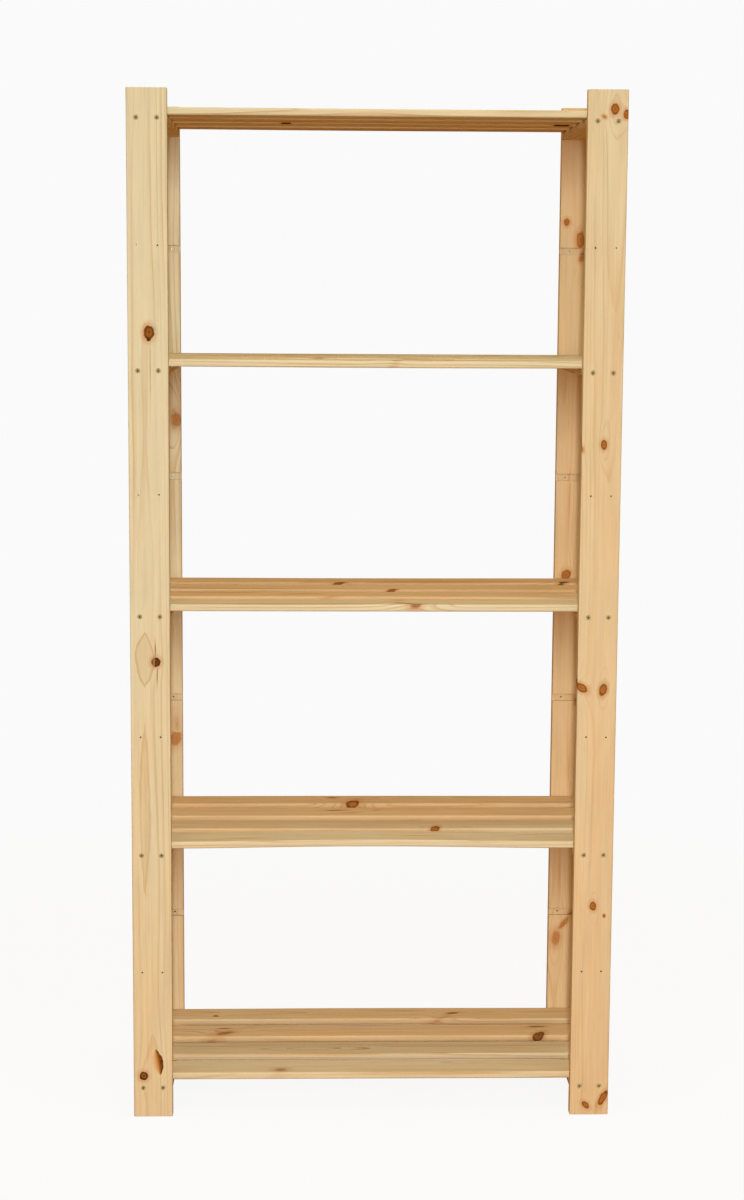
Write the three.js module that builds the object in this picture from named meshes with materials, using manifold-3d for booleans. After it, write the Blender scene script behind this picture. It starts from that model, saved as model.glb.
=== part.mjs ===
// Free-standing pine rack: four posts, five slatted shelves, countersunk screws at the front.
// Millimetres, +Z up, origin at the middle of the footprint on the floor, front towards -Y.

import * as THREE from 'three';
import { mergeVertices } from 'three/addons/utils/BufferGeometryUtils.js';
import Module from 'manifold-3d';

const wasm = await Module();
wasm.setup();

// Overall size
const RACK_WIDTH = 800;
const RACK_DEPTH = 390;
const RACK_HEIGHT = 1700;

// Boards
const POST_WIDTH = 65;
const POST_THICKNESS = 20;
const RAIL_THICKNESS = 12;
const SLAT_WIDTH = 64;
const SLAT_THICKNESS = 12;
const POST_EDGE_RADIUS = 2;
const BOARD_EDGE_RADIUS = 3;

// Shelf pattern: grooves at every level, a shelf at every second one
const LEVEL_COUNT = 9;
const LEVELS_PER_SHELF = 2;
const END_DISTANCE = 50;
const GROOVE_DEPTH = 5;
const SLATS_PER_SHELF = 4;
const SLAT_SETBACK = 2;

// Screws
const SCREW_DIAMETER = 3.5;
const SCREW_LENGTH = 45;
const SCREW_HEAD_DIAMETER = 7.5;
const SCREW_HEAD_RIM = 0.4;
const SCREW_TIP_LENGTH = 5;
const SCREW_SPACING = 33;
const SCREW_SINK = 0.5;
const RECESS_LENGTH = 4.5;
const RECESS_WIDTH = 1.2;
const RECESS_DEPTH = 1.75;
const PILOT_SPARE_DEPTH = 2;
const SPARE_HOLE_DIAMETER = 3;

// Fit of one piece against the next
const FIT_GAP = 0.25;

const EDGE_STEPS = 1;
const ROUND_STEPS = 8;

const PINE_POST = { color: 0xe3c592, roughness: 0.62, metalness: 0 };
const PINE_RAIL = { color: 0xc99a63, roughness: 0.66, metalness: 0 };
const PINE_SLAT = { color: 0xd9b17c, roughness: 0.64, metalness: 0 };
const YELLOW_ZINC = { color: 0xb9a35c, roughness: 0.38, metalness: 1 };

const levelPitch = (RACK_HEIGHT - 2 * END_DISTANCE) / (LEVEL_COUNT - 1);
const levels = Array.from({ length: LEVEL_COUNT }, (_, i) => END_DISTANCE + i * levelPitch);
const shelfLevels = levels.filter((_, i) => i % LEVELS_PER_SHELF === 0);

const postX = (RACK_WIDTH - POST_WIDTH) / 2;
const postY = (RACK_DEPTH - POST_THICKNESS) / 2;
const clearDepth = RACK_DEPTH - 2 * POST_THICKNESS;
const grooveHeight = RAIL_THICKNESS + 2 * FIT_GAP;
const railLength = clearDepth + 2 * (GROOVE_DEPTH - FIT_GAP);
const slatPitch = (clearDepth - 2 * SLAT_SETBACK - SLAT_WIDTH) / (SLATS_PER_SHELF - 1);
const slatHeight = RAIL_THICKNESS / 2 + FIT_GAP + SLAT_THICKNESS / 2;

const screwRadius = SCREW_DIAMETER / 2;
const headRadius = SCREW_HEAD_DIAMETER / 2;
const coneEnd = SCREW_HEAD_RIM + headRadius - screwRadius;
const screwStart = SCREW_SINK - RACK_DEPTH / 2;
const pilotDepth = screwStart + SCREW_LENGTH + PILOT_SPARE_DEPTH + railLength / 2;

const sides = [
  { name: 'left', sign: -1 },
  { name: 'right', sign: 1 },
];
const rows = [
  { name: 'front', sign: -1 },
  { name: 'rear', sign: 1 },
];
const places = [
  { name: 'outer', sign: 1 },
  { name: 'inner', sign: -1 },
];

const rack = new THREE.Group();
rack.name = 'slatted_rack';

// Shared corner points and no faces of zero area
function closed(geometry) {
  geometry.deleteAttribute('normal');
  geometry.deleteAttribute('uv');
  const welded = mergeVertices(geometry, 1e-4);
  const corners = welded.index.array;
  const kept = [];
  for (let i = 0; i < corners.length; i += 3) {
    const [a, b, c] = corners.slice(i, i + 3);
    if (a !== b && b !== c && c !== a) {
      kept.push(a, b, c);
    }
  }
  welded.setIndex(kept);
  return welded;
}

function toSolid(geometry) {
  const mesh = new wasm.Mesh({
    numProp: 3,
    vertProperties: new Float32Array(geometry.attributes.position.array),
    triVerts: new Uint32Array(geometry.index.array),
  });
  return new wasm.Manifold(mesh);
}

function toGeometry(solid) {
  const mesh = solid.getMesh();
  const geometry = new THREE.BufferGeometry();
  geometry.setAttribute('position', new THREE.BufferAttribute(mesh.vertProperties, 3));
  geometry.setIndex(new THREE.BufferAttribute(mesh.triVerts, 1));
  return geometry;
}

function cut(geometry, tools) {
  const solid = tools.reduce((rest, tool) => rest.subtract(toSolid(tool)), toSolid(geometry));
  return toGeometry(solid);
}

// A board along +Z with rounded long edges, its middle at the origin
function board(width, thickness, length, radius) {
  const x = width / 2 - radius;
  const y = thickness / 2 - radius;
  const outline = new THREE.Shape();
  outline.absarc(x, y, radius, 0, Math.PI / 2);
  outline.absarc(-x, y, radius, Math.PI / 2, Math.PI);
  outline.absarc(-x, -y, radius, Math.PI, 1.5 * Math.PI);
  outline.absarc(x, -y, radius, 1.5 * Math.PI, 2 * Math.PI);
  const options = { depth: length, bevelEnabled: false, curveSegments: EDGE_STEPS };
  const geometry = new THREE.ExtrudeGeometry(outline, options);
  return closed(geometry.translate(0, 0, -length / 2));
}

// A turned solid along +Y from [radius, distance] points, given from its start to its end
function turned(points) {
  const outline = points.map(([radius, distance]) => new THREE.Vector2(radius, distance));
  return closed(new THREE.LatheGeometry(outline, ROUND_STEPS));
}

function box(width, depth, height) {
  return closed(new THREE.BoxGeometry(width, depth, height));
}

function place(name, geometry, look, x, y, z) {
  const mesh = new THREE.Mesh(geometry, new THREE.MeshStandardMaterial(look));
  mesh.name = name;
  mesh.geometry.computeVertexNormals();
  mesh.position.set(x, y, z);
  rack.add(mesh);
}

// A hole from outside a post's face to past its groove: countersunk for a screw, plain at a spare level
function screwHole(countersunk) {
  const outside = -POST_THICKNESS;
  const inside = 2 * POST_THICKNESS;
  if (!countersunk) {
    const spare = SPARE_HOLE_DIAMETER / 2;
    return turned([[0, outside], [spare, outside], [spare, inside], [0, inside]]);
  }
  const hole = screwRadius + FIT_GAP;
  const mouth = headRadius + FIT_GAP;
  const rim = SCREW_SINK + SCREW_HEAD_RIM;
  const cone = rim + mouth - hole;
  return turned([[0, outside], [mouth, outside], [mouth, rim], [hole, cone], [hole, inside], [0, inside]]);
}

function post(facing) {
  const blank = board(POST_WIDTH, POST_THICKNESS, RACK_HEIGHT, POST_EDGE_RADIUS);
  blank.translate(0, 0, RACK_HEIGHT / 2);
  const tools = [];
  for (const level of levels) {
    const groove = box(2 * POST_WIDTH, 2 * GROOVE_DEPTH, grooveHeight);
    tools.push(groove.translate(0, POST_THICKNESS / 2, level));
    for (const { sign } of places) {
      const hole = screwHole(shelfLevels.includes(level));
      tools.push(hole.translate((sign * SCREW_SPACING) / 2, -POST_THICKNESS / 2, level));
    }
  }
  const geometry = cut(blank, tools);
  return facing < 0 ? geometry : geometry.rotateZ(Math.PI);
}

function rail() {
  const blank = board(POST_WIDTH, RAIL_THICKNESS, railLength, BOARD_EDGE_RADIUS).rotateX(Math.PI / 2);
  const radius = screwRadius + FIT_GAP;
  const tools = [];
  for (const row of rows) {
    for (const { sign } of places) {
      const pilot = turned([[0, -pilotDepth], [radius, -pilotDepth], [radius, pilotDepth], [0, pilotDepth]]);
      tools.push(pilot.translate((sign * SCREW_SPACING) / 2, (row.sign * railLength) / 2, 0));
    }
  }
  return cut(blank, tools);
}

function slat() {
  const geometry = board(SLAT_WIDTH, SLAT_THICKNESS, RACK_WIDTH, BOARD_EDGE_RADIUS);
  return geometry.rotateZ(Math.PI / 2).rotateY(Math.PI / 2);
}

// A countersunk screw pointing along +Y with a cross recess in its head
function screw() {
  const body = turned([
    [0, 0],
    [headRadius, 0],
    [headRadius, SCREW_HEAD_RIM],
    [screwRadius, coneEnd],
    [screwRadius, SCREW_LENGTH - SCREW_TIP_LENGTH],
    [0, SCREW_LENGTH],
  ]);
  return cut(body, [
    box(RECESS_LENGTH, 2 * RECESS_DEPTH, RECESS_WIDTH),
    box(RECESS_WIDTH, 2 * RECESS_DEPTH, RECESS_LENGTH),
  ]);
}

for (const row of rows) {
  for (const side of sides) {
    place(`post_${row.name}_${side.name}`, post(row.sign), PINE_POST, side.sign * postX, row.sign * postY, 0);
  }
}

shelfLevels.forEach((level, i) => {
  const shelf = i + 1;
  for (const side of sides) {
    place(`rail_${shelf}_${side.name}`, rail(), PINE_RAIL, side.sign * postX, 0, level);
  }
  for (let n = 0; n < SLATS_PER_SHELF; n += 1) {
    const y = (n - (SLATS_PER_SHELF - 1) / 2) * slatPitch;
    place(`slat_${shelf}_${n + 1}`, slat(), PINE_SLAT, 0, y, level + slatHeight);
  }
  for (const side of sides) {
    for (const spot of places) {
      const x = side.sign * (postX + (spot.sign * SCREW_SPACING) / 2);
      place(`screw_${shelf}_${side.name}_${spot.name}`, screw(), YELLOW_ZINC, x, screwStart, level);
    }
  }
});

export default rack;
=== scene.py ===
"""Looks of a free-standing pine rack with five slatted shelves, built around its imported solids."""

import math
import random
from typing import NamedTuple

import bmesh
import bpy
from mathutils import Matrix, Vector


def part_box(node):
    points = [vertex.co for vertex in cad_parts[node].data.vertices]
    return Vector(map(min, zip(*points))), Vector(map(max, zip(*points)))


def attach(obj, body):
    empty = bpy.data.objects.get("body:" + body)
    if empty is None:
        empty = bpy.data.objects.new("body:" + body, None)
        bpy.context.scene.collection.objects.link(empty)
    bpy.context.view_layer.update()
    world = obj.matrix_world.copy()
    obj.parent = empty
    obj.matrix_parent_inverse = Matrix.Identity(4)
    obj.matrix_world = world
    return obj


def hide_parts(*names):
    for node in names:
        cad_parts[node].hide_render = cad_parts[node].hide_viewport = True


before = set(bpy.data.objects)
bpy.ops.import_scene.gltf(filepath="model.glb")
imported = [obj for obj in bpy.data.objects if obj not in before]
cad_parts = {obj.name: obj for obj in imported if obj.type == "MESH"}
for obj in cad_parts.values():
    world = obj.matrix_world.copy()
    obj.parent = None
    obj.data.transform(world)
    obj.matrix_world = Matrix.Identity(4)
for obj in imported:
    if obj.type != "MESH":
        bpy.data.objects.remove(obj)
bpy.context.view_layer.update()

bl_info = {
    "name": "Slatted Pine Rack",
    "version": (1, 0, 0),
    "blender": (4, 5, 0),
    "location": "View3D > Sidebar > Rack",
    "description": "Builds the boards, screws, nails and studio of a slatted pine rack",
    "category": "Object",
}

MM = 0.001
BODY = "root"
SHELVES = range(1, 6)
SLATS = range(1, 5)
SIDES = ("left", "right")
ROWS = ("front", "rear")
SPOTS = ("outer", "inner")

# The field of a knot that isn't shown, in radii
FAR_FIELD = 100.0

# Faces that meet at more than this stay sharp
SHARP_ANGLE = math.radians(40)

# How many steps round and bent shapes are made of
EDGE_STEPS = 5
HOLE_STEPS = 32
PILOT_STEPS = 20
NAIL_STEPS = 16
SCREW_STEPS = 16
THREAD_ROWS = 5
SLAT_STATIONS = 33

# How much of the thread's pitch its ridge takes up on either side of its crest
THREAD_WIDTH = 0.28

# A knot's look: how dark its rim is, how dark it is inside, and how far it stands out from the wood
RED_KNOT = (0.42, 0.16, 1.0)
BROWN_KNOT = (0.32, 0.46, 1.0)
RINGED_KNOT = (0.9, 0.50, 1.0)
SOFT_KNOT = (0.22, 0.08, 0.80)
DARK_STREAK = (0.0, 0.60, 0.75)
PALE_STREAK = (0.0, 0.15, 0.40)
WARM_STREAK = (0.0, -0.1, 0.16)
FIGURE = (0.0, 0.0, 0.0)


class Knot(NamedTuple):
    """A branch's cut end.

    Its middle is in mm from the foot or left end and from the left or front edge, and its radius is in mm.
    Its axis leans along and slants across the board. Swirl is how far it bends the grain.
    """

    along: float
    across: float
    radius: float
    lean: float
    slant: float
    look: tuple
    swirl: float = 0.9


class Grain(NamedTuple):
    """How a board was cut.

    Its warmth runs from pale to red, at its start and its end. The pith's place, across and through the board
    from its middle, and the width of a year's ring are in mm.
    """

    warmth: tuple
    pith: tuple
    ring: float
    contrast: float
    taper: float


class Pocket(NamedTuple):
    """A crescent of bark and resin in a board's face.

    Its middle is in mm from the foot and the left edge. Half its length, its bulge and the width of its stain
    are in mm, and its turn is in degrees.
    """

    along: float
    across: float
    half: float
    bulge: float
    stain: float
    turn: float


class Figure(NamedTuple):
    """A year's ring that closes in a long pointed figure.

    Its middle is in mm from the foot and the left edge. Half its length and half its width are in mm.
    """

    along: float
    across: float
    half: float
    bulge: float
    show: float


class Lamp(NamedTuple):
    """A soft lamp: its place, the point that it is turned to, and its width and height, in metres."""

    spot: tuple
    target: tuple
    size: tuple


POST_GRAIN = {
    "post_front_left": Grain((0.60, -0.22), (-6, 24), 5.6, 0.30, 0.006),
    "post_front_right": Grain((0.82, 0.30), (12, 46), 3.4, 0.22, -0.004),
    "post_rear_left": Grain((0.72, -0.02), (6, 26), 4.6, 0.34, 0.005),
    "post_rear_right": Grain((0.90, 0.72), (-22, 18), 5.0, 0.40, -0.006),
}
POST_KNOTS = {
    "post_front_left": (
        Knot(1311, 34.5, 8.6, 0.9, 0.0, BROWN_KNOT, 0.12),
        Knot(1301, 33.5, 3.4, 0.5, 0.0, (0.3, 0.95, 1.0), 0.0),
        Knot(1252, 36, 0.45, 110.0, 0.0, DARK_STREAK, 0.0),
        Knot(775, 42, 7.6, 0.3, 0.2, (0.40, 0.72, 1.0), 0.5),
        Knot(795, 41, 0.9, 15.0, 0.0, DARK_STREAK, 0.0),
        Knot(752, 44, 0.8, 20.0, 0.5, DARK_STREAK, 0.0),
        Knot(1030, 23, 3.5, 9.0, 0.0, WARM_STREAK, 0.4),
        Knot(560, 24, 3.5, 18.0, 0.0, WARM_STREAK, 0.4),
        Knot(905, 26, 7.0, 3.6, 0.0, FIGURE, 0.7),
        Knot(71, 17, 7.4, 0.15, 0.0, RINGED_KNOT, 0.7),
        Knot(40, 38, 8.0, 3.0, 0.0, FIGURE, 1.0),
    ),
    "post_front_right": (
        Knot(1669, 43, 6.6, 0.9, 0.0, (0.30, 0.22, 1.0)),
        Knot(1657, 26, 3.2, 0.5, -0.9, (0.2, 0.1, 0.8)),
        Knot(1661, 62, 5.4, 0.9, 0.0, (0.25, 0.25, 1.0)),
        Knot(1134, 36, 5.2, 1.2, 0.0, RED_KNOT),
        Knot(1126, 0, 4.0, 1.2, 0.0, SOFT_KNOT, 0.4),
        Knot(733, 7.5, 6.2, 0.9, -1.1, RED_KNOT),
        Knot(730, 42.5, 6.6, 1.2, 0.3, RED_KNOT),
        Knot(363, 33, 5.4, 1.1, -0.15, RED_KNOT),
        Knot(346, 52, 2.2, 0.9, 0.0, RED_KNOT),
        Knot(17, 27, 4.8, 0.9, -0.9, RED_KNOT, 0.5),
        Knot(29, 56, 5.4, 2.2, 1.2, RED_KNOT, 0.5),
    ),
    "post_rear_left": (
        Knot(1150, 57, 9.5, 1.2, 0.0, (0.3, 0.10, 0.8), 1.1),
        Knot(575, 53, 11.0, 1.1, 0.3, SOFT_KNOT, 1.3),
        Knot(600, 55, 8.0, 3.0, 0.0, PALE_STREAK, 0.6),
        Knot(1420, 20, 7.0, 0.3, 0.0, SOFT_KNOT),
    ),
    "post_rear_right": (
        Knot(1501, 11, 5.6, 0.7, 0.0, (0.15, 0.15, 0.95), 0.6),
        Knot(1470, 36, 8.2, 1.6, 0.0, (0.30, 0.10, 0.9), 1.1),
        Knot(1438, 38, 5.0, 1.0, 0.4, SOFT_KNOT, 0.5),
        Knot(874, 21, 8.0, 0.7, 0.3, (0.35, 0.15, 0.95)),
        Knot(200, 14, 9.5, 1.3, 0.2, (0.25, 0.02, 0.75), 1.2),
        Knot(228, 28, 5.0, 2.2, 1.8, SOFT_KNOT, 0.4),
        Knot(640, 46, 7.0, 0.4, 0.0, SOFT_KNOT),
        Knot(520, 32, 3.0, 16.0, 0.0, (0.0, 0.0, 0.35), 0.3),
        Knot(320, 18, 2.6, 20.0, 0.0, (0.0, 0.0, 0.35), 0.3),
        Knot(1010, 24, 2.6, 16.0, 0.0, (0.0, 0.0, 0.30), 0.3),
    ),
}
# How much lower than the solid each post ends, in mm
POST_TRIM = {
    "post_front_left": 3.0,
    "post_front_right": 0.0,
    "post_rear_left": 5.0,
    "post_rear_right": 1.5,
}
POST_POCKETS = {"post_front_left": Pocket(95, 40.5, 24.0, 9.0, 12.0, 10.0)}
POST_FIGURES = {
    "post_front_left": (Figure(779, 23.7, 47, 15.5, 0.60), Figure(525, 22, 150, 9, 0.45)),
}
RAIL_WARMTH = 0.66
# One row a shelf, from the lowest, and one number a slat, from the front
SLAT_WARMTH = (
    (0.42, 0.44, 0.85, 0.80),
    (0.25, 0.58, 0.88, 0.95),
    (0.15, 0.78, 0.85, 0.98),
    (0.02, 0.10, 0.15, 0.20),
    (0.10, 0.55, 0.60, 0.70),
)
SLAT_KNOTS = {
    "slat_1_1": (
        Knot(246, 14, 9.5, 1.0, 0.0, (0.25, 0.45, 0.6)),
        Knot(255, -2, 6.0, 2.0, 0.0, FIGURE, 1.6),
        Knot(581, 48, 4.0, 2.0, 0.0, FIGURE, 1.6),
    ),
    "slat_1_2": (Knot(300, 30, 8.0, 2.5, 0.0, FIGURE, 1.2),),
    "slat_1_3": (
        Knot(145, 18, 10.0, 1.6, 0.9, (0.0, 0.45, 0.7), 1.2),
        Knot(142, 43, 3.0, 5.0, 0.4, DARK_STREAK, 0.5),
        Knot(703, 2, 9.5, 0.8, 1.6, (0.25, 0.55, 0.95), 1.2),
        Knot(704, 48, 4.5, 4.0, 0.3, DARK_STREAK, 0.5),
    ),
    "slat_1_4": (
        Knot(556, 31, 5.0, 2.2, 0.6, (0.1, 0.60, 0.8), 1.2),
        Knot(536, 5, 6.0, 2.0, 1.0, PALE_STREAK, 1.0),
        Knot(125, 20, 3.6, 1.0, 0.0, (0.2, 0.70, 0.9)),
    ),
    "slat_2_1": (
        Knot(610, 30, 6.0, 2.5, 0.0, FIGURE, 1.0),
        Knot(430, 30, 3.0, 16.0, 0.0, PALE_STREAK, 0.5),
        Knot(180, 20, 3.0, 8.0, 0.0, PALE_STREAK, 0.5),
    ),
    "slat_2_2": (
        Knot(509, 0, 7.5, 0.6, 2.2, (0.35, 0.20, 1.0), 1.0),
        Knot(472, 58, 2.0, 7.0, 0.0, PALE_STREAK, 0.4),
    ),
    "slat_2_3": (
        Knot(340, 42, 3.5, 5.0, 0.6, DARK_STREAK, 0.6),
        Knot(367, 25, 5.0, 5.0, 1.0, PALE_STREAK, 0.6),
        Knot(414, 43, 1.6, 6.0, 0.0, DARK_STREAK, 0.4),
    ),
    "slat_2_4": (
        Knot(370, -4, 11.5, 0.6, 2.2, (0.45, 0.18, 1.0), 1.1),
        Knot(335, 46, 5.0, 1.6, 0.0, DARK_STREAK),
    ),
    "slat_3_1": (
        Knot(466, -6, 10.0, 1.0, 1.2, (0.2, 0.32, 0.85), 1.1),
        Knot(452, 16, 5.5, 4.0, -2.4, (0.0, 0.35, 0.7), 0.6),
        Knot(443, 54, 2.6, 4.0, 0.0, DARK_STREAK, 0.3),
    ),
    "slat_3_2": (
        Knot(282, 35, 4.0, 6.0, 0.6, PALE_STREAK, 0.8),
        Knot(326, 0, 5.0, 4.0, 1.2, PALE_STREAK, 0.8),
    ),
    "slat_3_3": (Knot(439, 3, 4.5, 1.4, 0.6, (0.2, 0.50, 0.9), 0.8),),
    "slat_3_4": (
        Knot(746, 8, 7.0, 1.0, 0.6, (0.4, 0.50, 0.95)),
        Knot(348, 1, 5.5, 1.8, 0.8, (0.2, 0.55, 0.9)),
    ),
    "slat_4_4": (Knot(615, 2, 3.5, 10.0, 0.0, (0.0, 0.30, 0.5), 0.6),),
    "slat_5_3": (
        Knot(262, 4, 6.0, 0.9, 0.2, (0.5, 0.8, 1.0)),
        Knot(732, 4, 8.0, 1.4, 0.2, (0.5, 0.8, 1.0)),
    ),
    "slat_5_4": (Knot(430, 30, 6.0, 2.5, 0.0, FIGURE, 1.0),),
}
# The most knots on a board of which the picture shows none
MOST_KNOTS = 2
# The slat that stands up at mid span, and its rise in mm
BOWED_SLAT = "slat_2_1"
BOWED_RISE = 3.4

# The studio, in metres
KEY_LAMP = Lamp((-0.10, -4.3, 1.7), (0.0, 0.0, -0.3), (0.12, 2.4))
KEY_SPREAD = math.radians(110)
OVERHEAD_LAMP = Lamp((0.0, -0.9, 3.4), (0.0, -0.2, 0.8), (2.0, 0.4))
REAR_LAMP = Lamp((0.2, 1.2, 2.5), (0.0, 0.0, 1.0), (1.6, 0.6))
FLOOR_HALF = 20.0
# The distances from the rack between which its shadow on the floor fades out
SHADOW_FADE = (0.6, 2.4)
# How much of the floor's look near the rack is its own pale tone, and how much brighter that is there
FLOOR_TONE = 0.92
FLOOR_LIFT = 1.03
CAMERA_SENSOR = 36.0
WHITE = (1.0, 1.0, 1.0, 1.0)


def scene_sizes():
    return bpy.context.scene.rack_sizes


def scene_finish():
    return bpy.context.scene.rack_finish


def length(name, description, default):
    return bpy.props.FloatProperty(
        name=name, description=description, default=default, min=0.0, precision=5, unit="LENGTH"
    )


def colour(name, description, default):
    return bpy.props.FloatVectorProperty(
        name=name, description=description, default=default, size=3, min=0.0, max=1.0, subtype="COLOR"
    )


def share(name, description, default):
    return bpy.props.FloatProperty(
        name=name, description=description, default=default, min=0.0, max=1.0, subtype="FACTOR"
    )


def lamp_power(name, description, default):
    return bpy.props.FloatProperty(name=name, description=description, default=default, min=0.0, unit="POWER")


def place(name, description, default):
    return bpy.props.FloatVectorProperty(
        name=name, description=description, default=default, size=3, subtype="TRANSLATION"
    )


def angle(name, description, default):
    return bpy.props.FloatProperty(name=name, description=description, default=default, unit="ROTATION")


class RackSizes(bpy.types.PropertyGroup):
    """Sizes of the details that the solids leave plain."""

    post_round: length("Post edge", "Radius of the posts' long edges", 2.0 * MM)
    board_round: length("Board edge", "Radius of the rails' and slats' long edges", 3.0 * MM)
    sawn_edge: length("Sawn edge", "Easing of sawn ends, grooves and hole mouths", 0.4 * MM)
    fit_gap: length("Fit gap", "Clearance between a piece and the cut it sits in", 0.25 * MM)
    spare_hole: length("Spare hole", "Radius of the holes at a level without a shelf", 1.5 * MM)
    screw_shank: length("Screw shank", "Radius of the screw over its thread", 1.75 * MM)
    screw_core: length("Screw core", "Radius of the screw under its thread", 1.15 * MM)
    screw_plain: length("Plain shank", "Length of a screw without thread, with its head", 16.0 * MM)
    screw_tip: length("Screw tip", "Length of the point of a screw", 6.0 * MM)
    head_easing: length("Head easing", "Easing of the edge of a screw's head", 0.25 * MM)
    screw_rim: length("Screw rim", "Height of the rim of a screw's head", 0.4 * MM)
    recess_length: length("Recess length", "Length of the cross recess's arms", 4.5 * MM)
    recess_width: length("Recess width", "Width of the cross recess's arms", 1.2 * MM)
    recess_depth: length("Recess depth", "Depth of the cross recess", 1.75 * MM)
    pilot_spare: length("Pilot spare", "Depth of a rail's pilot hole past the screw's tip", 2.0 * MM)
    screw_sink: length("Screw sink", "Depth of a screw head below the post's face", 0.5 * MM)
    thread_pitch: length("Thread pitch", "Distance between two turns of the thread", 1.6 * MM)
    nail_head: length("Nail head", "Radius of a nail's head", 1.3 * MM)
    nail_shank: length("Nail shank", "Radius of a nail's shank", 0.7 * MM)
    nail_length: length("Nail length", "Length of a nail", 22.0 * MM)
    nail_inset: length("Nail inset", "Distance of a nail from a slat's long edge", 14.0 * MM)
    slat_bow: length("Slat bow", "Largest rise or sag of an ordinary slat at mid span", 0.7 * MM)


class RackFinish(bpy.types.PropertyGroup):
    """Colours of the pine, its knots and the metal."""

    sapwood: colour("Sapwood", "Pale early wood", (0.745, 0.668, 0.442))
    heartwood: colour("Heartwood", "Warm early wood", (0.78, 0.520, 0.264))
    latewood: colour("Latewood", "Dark part of a year's ring", (0.56, 0.325, 0.120))
    knot_light: colour("Knot", "Light wood inside a knot", (0.54, 0.190, 0.032))
    knot_dark: colour("Knot rim", "Bark and resin round a knot", (0.085, 0.027, 0.007))
    resin: colour("Resin", "Wood stained by resin", (0.66, 0.27, 0.04))
    zinc: colour("Zinc", "Yellow zinc plating", (0.66, 0.48, 0.22))
    # Painted shade: a dark colour laid into the hollow of a screw's cross recess, standing in for the shade
    # that falls there
    painted_recess_shade: colour("Recess_shade", "Painted_shade in the recess of a screw's head", (0.13, 0.075, 0.025))
    nail_steel: colour("Nail steel", "Bare steel of the nails", (0.22, 0.20, 0.17))
    wood_roughness: share("Wood roughness", "Roughness of planed pine", 0.58)


class RackStudio(bpy.types.PropertyGroup):
    """The camera and the light of the studio."""

    camera_place: place("Camera", "Place of the lens", (-0.1157, -3.8813, 1.3875))
    camera_yaw: angle("Camera yaw", "Turn of the camera to the right", 0.0301)
    camera_pitch: angle("Camera pitch", "Tilt of the camera downwards", 0.1371)
    camera_roll: angle("Camera roll", "Roll of the camera about its axis", 0.0062)
    camera_lens: bpy.props.FloatProperty(
        name="Lens", description="Focal length for a 36 mm long side", default=68.28, min=1.0, unit="CAMERA"
    )
    backdrop: share("Backdrop", "Level of the floor and the backdrop to the camera", 0.956)
    ambient: share("Ambient", "Level of the even light from all round", 0.42)
    ambient_colour: colour("Ambient colour", "Colour of the even light from all round", (1.0, 0.82, 0.54))
    bounce: colour("Floor bounce", "Colour of the light that the floor throws back up", (0.44, 0.21, 0.05))
    key_power: lamp_power("Key light", "Power of the soft lamp at the front", 52.0)
    key_colour: colour("Key light colour", "Colour of the lamp at the front", (0.90, 0.95, 1.0))
    overhead_power: lamp_power("Overhead", "Power of the soft lamp above the front", 15.0)
    overhead_colour: colour("Overhead colour", "Colour of the lamp above the front", (1.0, 0.84, 0.60))
    rear_power: lamp_power("Rear light", "Power of the soft lamp behind", 7.0)
    rear_colour: colour("Rear light colour", "Colour of the lamp behind", (1.0, 0.78, 0.48))


class Tree:
    """Adds nodes to a material's tree or a group and hands back their output sockets."""

    def __init__(self, nodes):
        self.nodes = nodes.nodes
        self.links = nodes.links

    def feed(self, socket, value):
        if isinstance(value, bpy.types.NodeSocket):
            self.links.new(value, socket)
        else:
            socket.default_value = value

    def node(self, kind, inputs=None, **settings):
        node = self.nodes.new(kind)
        for name, value in settings.items():
            setattr(node, name, value)
        for key, value in (inputs or {}).items():
            self.feed(node.inputs[key], value)
        return node

    def math(self, operation, *values):
        node = self.node("ShaderNodeMath", dict(enumerate(values)), operation=operation)
        return node.outputs[0]

    def vector(self, operation, *values):
        node = self.node("ShaderNodeVectorMath", dict(enumerate(values)), operation=operation)
        return node.outputs["Value" if operation == "LENGTH" else "Vector"]

    def split(self, vector):
        """The X, Y and Z of a vector."""
        return self.node("ShaderNodeSeparateXYZ", {0: vector}).outputs

    def product(self, first, *others):
        made = first
        for value in others:
            made = self.math("MULTIPLY", made, value)
        return made

    def inverse(self, value):
        return self.math("SUBTRACT", 1.0, value)

    def noise(self, position, along, across, detail, output="Fac", **inputs):
        """Noise with about so many spots a metre along and across the grain."""
        stretched = self.vector("MULTIPLY", position, (along, across, across))
        values = {"Vector": stretched, "Scale": 1.0, "Detail": detail, **inputs}
        return self.node("ShaderNodeTexNoise", values).outputs[output]

    def sway(self, position, along, across, reach):
        """A slow wandering to and fro, by up to half of reach on each axis."""
        wander = self.noise(position, along, across, 2.0, "Color")
        return self.vector("MULTIPLY", self.vector("SUBTRACT", wander, (0.5, 0.5, 0.5)), reach)

    def step(self, value, low, high):
        """A smooth step from 0 at low to 1 at high."""
        inputs = {"Value": value, "From Min": low, "From Max": high}
        node = self.node("ShaderNodeMapRange", inputs, interpolation_type="SMOOTHSTEP")
        return node.outputs[0]

    def fall(self, value, low, high):
        """A smooth step from 1 at low to 0 at high."""
        return self.inverse(self.step(value, low, high))

    def between(self, value, low, high):
        """A value from 0 to 1 turned into one from low to high."""
        inputs = {"Value": value, "To Min": low, "To Max": high}
        return self.node("ShaderNodeMapRange", inputs).outputs[0]

    def mix(self, amount, a, b, blend="MIX"):
        node = self.node("ShaderNodeMix", {0: amount, 6: a, 7: b}, data_type="RGBA", blend_type=blend)
        return node.outputs[2]

    def surface(self, inputs):
        """Ends a material's tree in a shader with the inputs given."""
        shader = self.node("ShaderNodeBsdfPrincipled", inputs)
        self.node("ShaderNodeOutputMaterial", {"Surface": shader.outputs[0]})


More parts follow.
